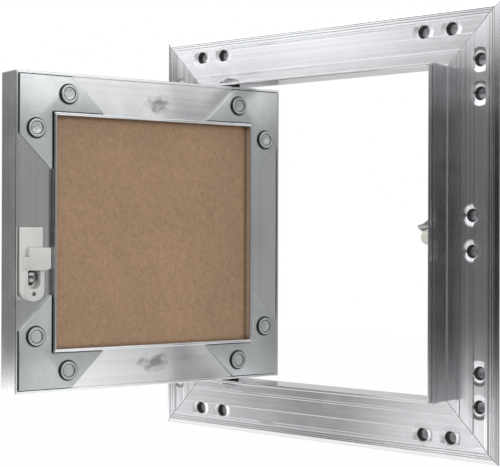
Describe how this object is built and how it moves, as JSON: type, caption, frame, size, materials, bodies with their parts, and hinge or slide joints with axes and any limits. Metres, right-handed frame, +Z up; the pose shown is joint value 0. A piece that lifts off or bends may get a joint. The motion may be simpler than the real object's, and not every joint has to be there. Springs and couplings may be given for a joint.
{
  "type": "drywall access panel",
  "caption": "Square drywall access panel: mitred aluminium frame, plasterboard leaf on top and bottom pivots, touch latch.",
  "frame": {"origin": "middle of the 150 mm square opening, on the front face of the frame's flange", "axes": "+Z up, +Y into the wall away from the room, +X towards the latch side"},
  "size_m": [0.202, 0.163, 0.202],
  "materials": {
    "frame_aluminium": "mill finish extrusion, bright",
    "leaf_aluminium": "mill finish extrusion, satin",
    "zinc_plate": "zinc-plated sheet",
    "pin_steel": "bright rivet steel",
    "screw_steel": "zinc-plated screw",
    "hook_steel": "plain pressed steel",
    "spring_steel": "spring wire",
    "white_nylon": "natural nylon",
    "housing_plastic": "moulded, fine matt",
    "ivory_plastic": "acetal, slightly glossy",
    "white_plastic": "moulded, satin",
    "gypsum": "cast gypsum",
    "back_paper": "brown liner paper, dull",
    "front_paper": "pale face paper, dull"
  },
  "bodies": {
    "frame": {"frame_bottom_rail": "frame_aluminium", "frame_hinge_stile": "frame_aluminium", "frame_top_rail": "frame_aluminium", "frame_latch_stile": "frame_aluminium", "frame_corner_plate_bottom_hinge": "zinc_plate", "frame_corner_plate_top_hinge": "zinc_plate", "frame_corner_plate_top_latch": "zinc_plate", "frame_corner_plate_bottom_latch": "zinc_plate", "pivot_pin_top": "pin_steel", "pivot_pin_bottom": "pin_steel", "pivot_washer_top": "white_nylon", "pivot_washer_bottom": "white_nylon", "latch_bracket": "zinc_plate", "latch_housing": "housing_plastic", "housing_screws": "screw_steel", "hook_pin": "pin_steel", "latch_spring": "spring_steel"},
    "leaf": {"leaf_bottom_rail": "leaf_aluminium", "leaf_hinge_stile": "leaf_aluminium", "leaf_top_rail": "leaf_aluminium", "leaf_latch_stile": "leaf_aluminium", "leaf_corner_plate_bottom_hinge": "zinc_plate", "leaf_corner_plate_top_hinge": "zinc_plate", "leaf_corner_plate_top_latch": "zinc_plate", "leaf_corner_plate_bottom_latch": "zinc_plate", "pivot_bush_top": "white_nylon", "pivot_bush_bottom": "white_nylon", "board_core": "gypsum", "board_back_paper": "back_paper", "board_front_paper": "front_paper", "strike": "white_plastic", "strike_screw": "screw_steel"},
    "plunger": {"latch_plunger": "ivory_plastic"},
    "hook": {"latch_hook": "hook_steel"}
  },
  "joints": [
    {"name": "leaf_hinge", "type": "hinge", "parent": "frame", "child": "leaf", "pos_m": [-0.0488, -0.00757, 0], "axis": [0, 0, 1], "range_deg": [-45, 104.6]},
    {"name": "plunger_slide", "type": "slide", "parent": "frame", "child": "plunger", "axis": [0, 1, 0], "range_m": [0, 0.003], "stiffness_N_per_m": 300, "springref_m": -0.004, "deforming": ["latch_spring"]},
    {"name": "hook_turn", "type": "hinge", "parent": "frame", "child": "hook", "pos_m": [0.0557, 0.0196, -0.00454], "axis": [1, 0, 0], "range_deg": [0, 45.98]}
  ],
  "couplings": [
    {"joint": "hook_turn", "follows": "plunger_slide", "rad_per_m": 267.23}
  ]
}
